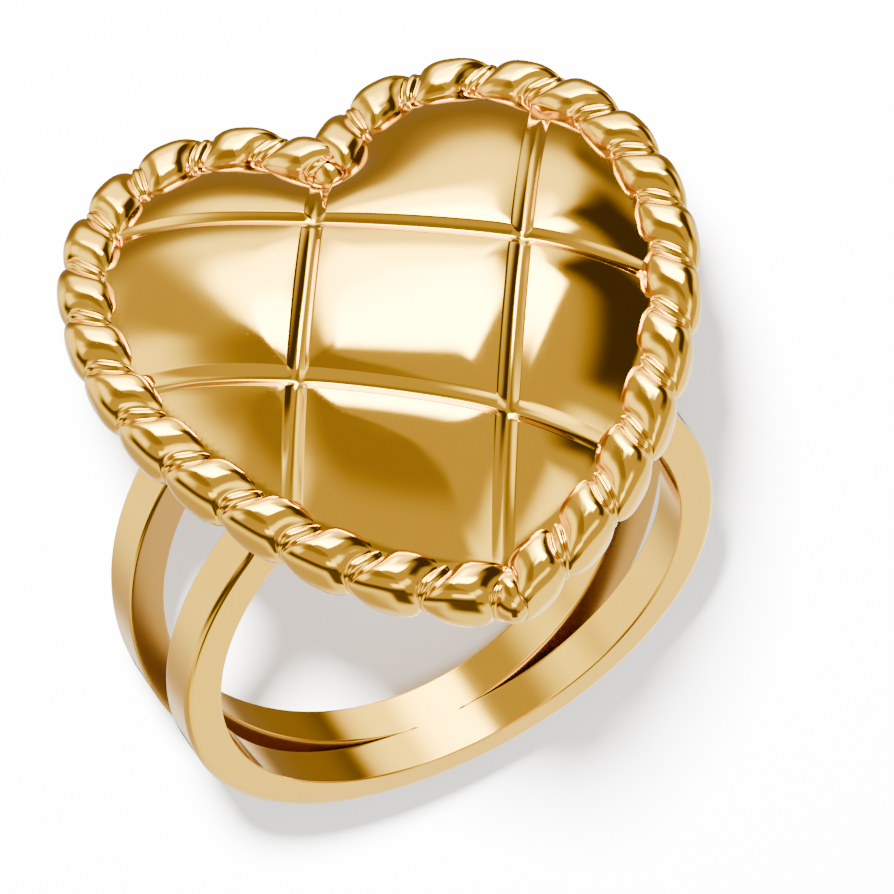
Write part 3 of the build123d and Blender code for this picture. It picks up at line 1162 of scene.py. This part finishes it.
@dataclass
class Studio:
    """Floor, light tent, lights and camera. None of it is part of the ring."""

    rest: RestFrame
    # The photograph's view of the ring: lens, place, the point it looks at and its up
    sensor_mm: float = 36.0
    lens_mm: float = 1079.73
    camera_mm: tuple[float, float, float] = (-212.803, -567.298, 670.141)
    aim_mm: tuple[float, float, float] = (2.334, 1.709, 2.208)
    image_up: tuple[float, float, float] = (0.384953, 0.637674, 0.66722)
    clip_m: tuple[float, float] = (0.1, 10.0)
    floor_half_m: float = 3.0
    floor_tone: str = "#F4F2EF"
    floor_roughness: float = 0.9
    # The key stands where the shadow falls to the picture's right
    key_m: tuple[float, float, float] = (0.1, -0.36, 0.43)
    key_width_m: float = 0.08
    key_watts: float = 66.0
    surround: float = 2.1
    # The tent glows by two levels, below and above a soft turn in degrees
    tent_radius_m: float = 0.35
    tent_rings: int = 32
    tent_low: float = 1.9
    tent_high: float = 0.72
    tent_turn: tuple[float, float] = (-25.0, -5.0)
    # Its dim parts are tinted, and parts from the white level up aren't
    warm_tint: str = "#FFDDB4"
    warm_level: float = 0.1
    white_level: float = 1.6
    panels: Sequence[Panel] = TENT_PANELS

    def camera(self) -> None:
        """Places the camera at the photograph's angle to the ring."""
        data = bpy.data.cameras.new("camera")
        data.sensor_width = self.sensor_mm
        data.lens = self.lens_mm
        data.clip_start, data.clip_end = self.clip_m
        thing = bpy.data.objects.new("camera", data)
        spot = self.rest.point(self.camera_mm)
        back = (spot - self.rest.point(self.aim_mm)).normalized()
        up = self.rest.direction(self.image_up)
        right = up.cross(back).normalized()
        up = back.cross(right)
        turn = Matrix((right, up, back)).transposed().to_4x4()
        thing.matrix_world = Matrix.Translation(spot) @ turn
        bpy.context.scene.collection.objects.link(thing)
        bpy.context.scene.camera = thing

    def floor(self) -> None:
        """Lays the plain pale floor; the tent takes its place in the ring's reflections."""
        half = self.floor_half_m
        mesh = bpy.data.meshes.new("floor")
        mesh.from_pydata([(-half, -half, 0), (half, -half, 0), (half, half, 0), (-half, half, 0)],
                         [], [(0, 1, 2, 3)])
        # Seamless paper: matt, and a touch warmer than white
        paint = bpy.data.materials.new("matt_white_sweep")
        paint.use_nodes = True
        shader = paint.node_tree.nodes["Principled BSDF"]
        shader.inputs["Base Color"].default_value = hex_to_linear(self.floor_tone)
        shader.inputs["Roughness"].default_value = self.floor_roughness
        mesh.materials.append(paint)
        thing = bpy.data.objects.new("floor", mesh)
        thing.visible_glossy = False
        bpy.context.scene.collection.objects.link(thing)

    def _tent_paint(self) -> bpy.types.Material:
        """The tent's glow: one level above, one below and the panels on them.

        Returns:
            The material.
        """
        # Thin cloth lit from outside: it glows evenly, a little warmer where it is dim
        paint = bpy.data.materials.new("light_tent")
        paint.use_nodes = True
        tree = paint.node_tree
        tree.nodes.clear()
        spot = add_node(tree, "ShaderNodeTexCoord").outputs["Object"]
        toward = add_node(tree, "ShaderNodeVectorMath", {0: spot}, operation="NORMALIZE").outputs[0]
        across, along, up = (
            add_node(tree, "ShaderNodeVectorMath", {0: toward, 1: self.rest.direction(axis)},
                     operation="DOT_PRODUCT").outputs["Value"]
            for axis in ((1, 0, 0), (0, 1, 0), (0, 0, 1)))
        azimuth = add_node(tree, "ShaderNodeMath", {0: across, 1: along}, operation="ARCTAN2")
        elevation = add_node(tree, "ShaderNodeMath", {0: up}, operation="ARCSINE")
        low, high = (math.radians(angle) for angle in self.tent_turn)
        upper = add_node(tree, "ShaderNodeMapRange", {
            "Value": elevation.outputs[0], "From Min": low, "From Max": high},
            interpolation_type="SMOOTHERSTEP")
        level = add_node(tree, "ShaderNodeMix", {
            "Factor": upper.outputs[0], "A": self.tent_low, "B": self.tent_high}).outputs[0]
        for panel in self.panels:
            masks = []
            for angle, middle, half in ((azimuth, panel.azimuth, panel.half_azimuth),
                                        (elevation, panel.elevation, panel.half_elevation)):
                away = angle.outputs[0]
                # The shorter way round counts
                for operation, *terms in (("SUBTRACT", math.radians(middle)),
                                          ("WRAP", math.pi, -math.pi), ("ABSOLUTE",)):
                    away = add_node(tree, "ShaderNodeMath", dict(enumerate((away, *terms))),
                                    operation=operation).outputs[0]
                masks.append(add_node(tree, "ShaderNodeMapRange", {
                    "Value": away, "From Min": math.radians(half + panel.soft),
                    "From Max": math.radians(half - panel.soft)},
                    interpolation_type="SMOOTHERSTEP").outputs[0])
            share = add_node(tree, "ShaderNodeMath", dict(enumerate(masks)), operation="MULTIPLY")
            level = add_node(tree, "ShaderNodeMix", {
                "Factor": share.outputs[0], "A": level, "B": panel.level}).outputs[0]
        bright = add_node(tree, "ShaderNodeMapRange", {
            "Value": level, "From Min": self.warm_level, "From Max": self.white_level}).outputs[0]
        tint = add_node(tree, "ShaderNodeMix", {
            "Factor": bright, MIX_A: hex_to_linear(self.warm_tint), MIX_B: hex_to_linear(WHITE)},
            data_type="RGBA").outputs[MIX_OUT]
        lamp = add_node(tree, "ShaderNodeEmission", {"Color": tint, "Strength": level})
        add_node(tree, "ShaderNodeOutputMaterial", {"Surface": lamp.outputs[0]})
        return paint

    def tent(self) -> None:
        """Hangs the tent that only the ring's reflections see."""
        shape = bmesh.new()
        bmesh.ops.create_uvsphere(shape, u_segments=2 * self.tent_rings,
                                  v_segments=self.tent_rings, radius=self.tent_radius_m)
        thing = make_piece("light_tent", shape)
        thing.data.materials.append(self._tent_paint())
        for ray in ("camera", "diffuse", "shadow", "transmission", "volume_scatter"):
            setattr(thing, f"visible_{ray}", False)

    def lights(self) -> None:
        """Hangs the key, which draws the shadow on the floor, and sets the pale surround."""
        data = bpy.data.lights.new("key", "AREA")
        data.shape = "DISK"
        data.size = self.key_width_m
        data.energy = self.key_watts
        thing = bpy.data.objects.new("key", data)
        spot = Vector(self.key_m)
        turn = spot.to_track_quat("Z", "Y").to_matrix().to_4x4()
        thing.matrix_world = Matrix.Translation(spot) @ turn
        thing.visible_glossy = False
        bpy.context.scene.collection.objects.link(thing)
        world = bpy.data.worlds.new("surround")
        world.use_nodes = True
        sky = world.node_tree.nodes["Background"]
        sky.inputs["Color"].default_value = hex_to_linear(WHITE)
        sky.inputs["Strength"].default_value = self.surround
        bpy.context.scene.world = world

    def build(self) -> None:
        """Builds all of it."""
        self.camera()
        self.floor()
        self.tent()
        self.lights()


def main() -> None:
    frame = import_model()
    rest = RestFrame.from_record(frame["record"])
    plan = HeartPlan()
    gold = PolishedGold().material()
    for part in (QuiltedHeart(plan), RopeBorder(plan), SplitBand(plan)):
        piece = part.build(rest, gold)
        triangles = sum(len(face.vertices) - 2 for face in piece.data.polygons)
        LOG.info("%s: %d triangles", piece.name, triangles)
    Studio(rest).build()


if __name__ == "__main__":
    main()
